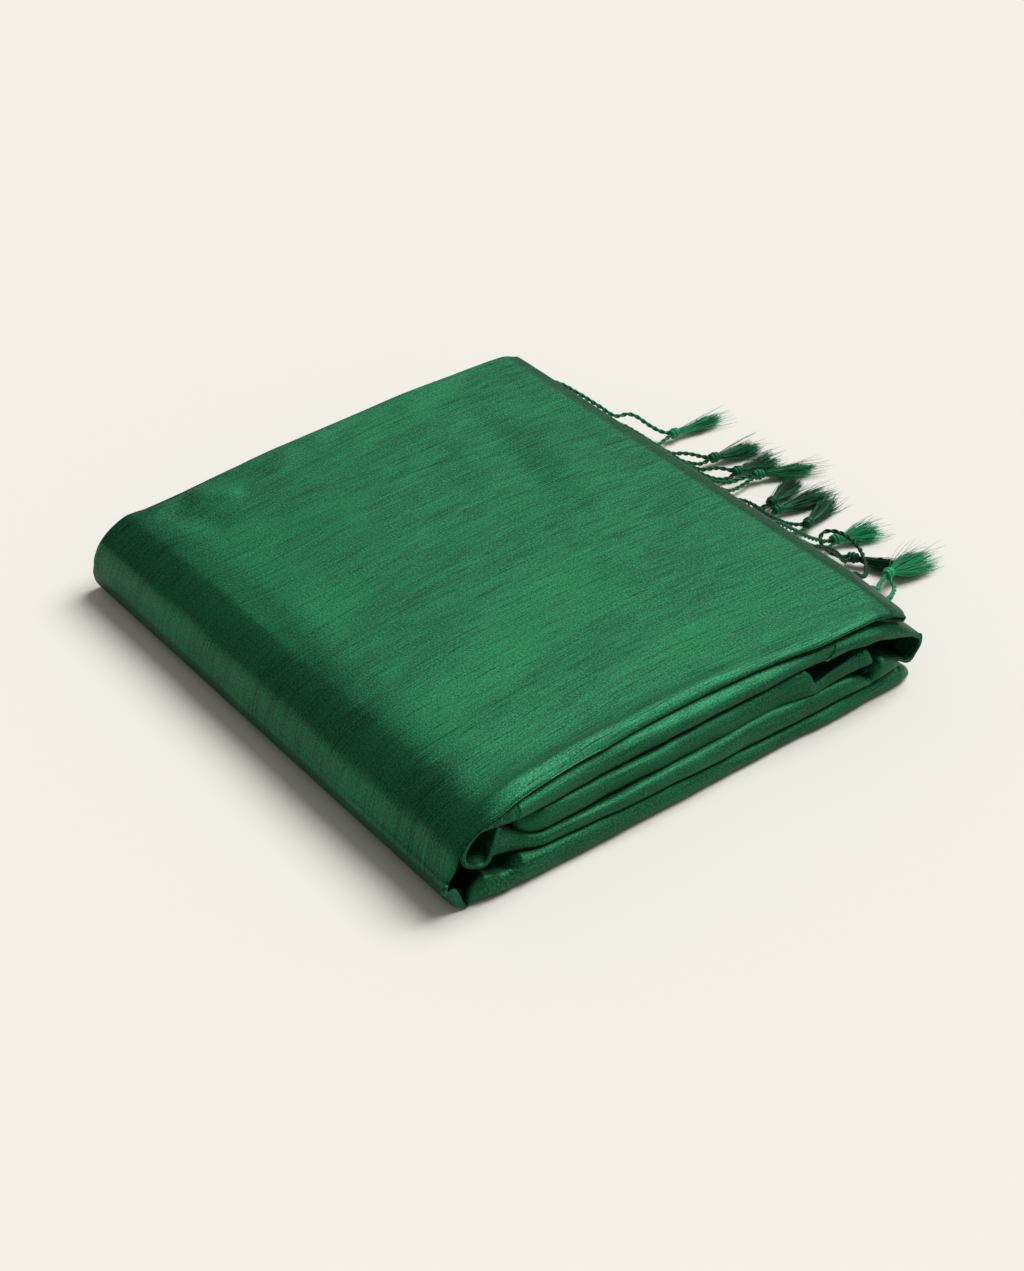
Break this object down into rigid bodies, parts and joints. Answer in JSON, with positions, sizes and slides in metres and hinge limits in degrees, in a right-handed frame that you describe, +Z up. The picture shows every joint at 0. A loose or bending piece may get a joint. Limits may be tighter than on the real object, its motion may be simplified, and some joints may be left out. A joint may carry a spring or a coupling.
{
  "type": "folded saree",
  "caption": "Silk saree folded flat into a soft layered pile, with rolled folds at the front and the tassels of its end border lying beside it.",
  "frame": {"origin": "middle of the pile's flat underside, where it rests on the table", "axes": "+X along the cloth, from the big turn on the left to the tassels; -Y towards the layered side with the rolls; +Z up from the table"},
  "size_m": [0.3415, 0.2902, 0.0443],
  "materials": {
    "silk": "soft sheen, slubbed weave",
    "silk_inside": "shaded layers of the same silk",
    "tassel_yarn": "twisted silk yarn"
  },
  "bodies": {
    "root": {"outer_wrap": "silk", "upper_fold": "silk", "hemmed_end": "silk", "return_fold": "silk", "bottom_fold": "silk", "left_loop": "silk", "end_turn": "silk", "pallu_end": "silk", "inner_layers": "silk_inside", "tassel_01": "tassel_yarn", "tassel_02": "tassel_yarn", "tassel_03": "tassel_yarn", "tassel_04": "tassel_yarn", "tassel_05": "tassel_yarn", "tassel_06": "tassel_yarn", "tassel_07": "tassel_yarn", "tassel_08": "tassel_yarn", "tassel_09": "tassel_yarn", "tassel_10": "tassel_yarn"}
  },
  "joints": []
}
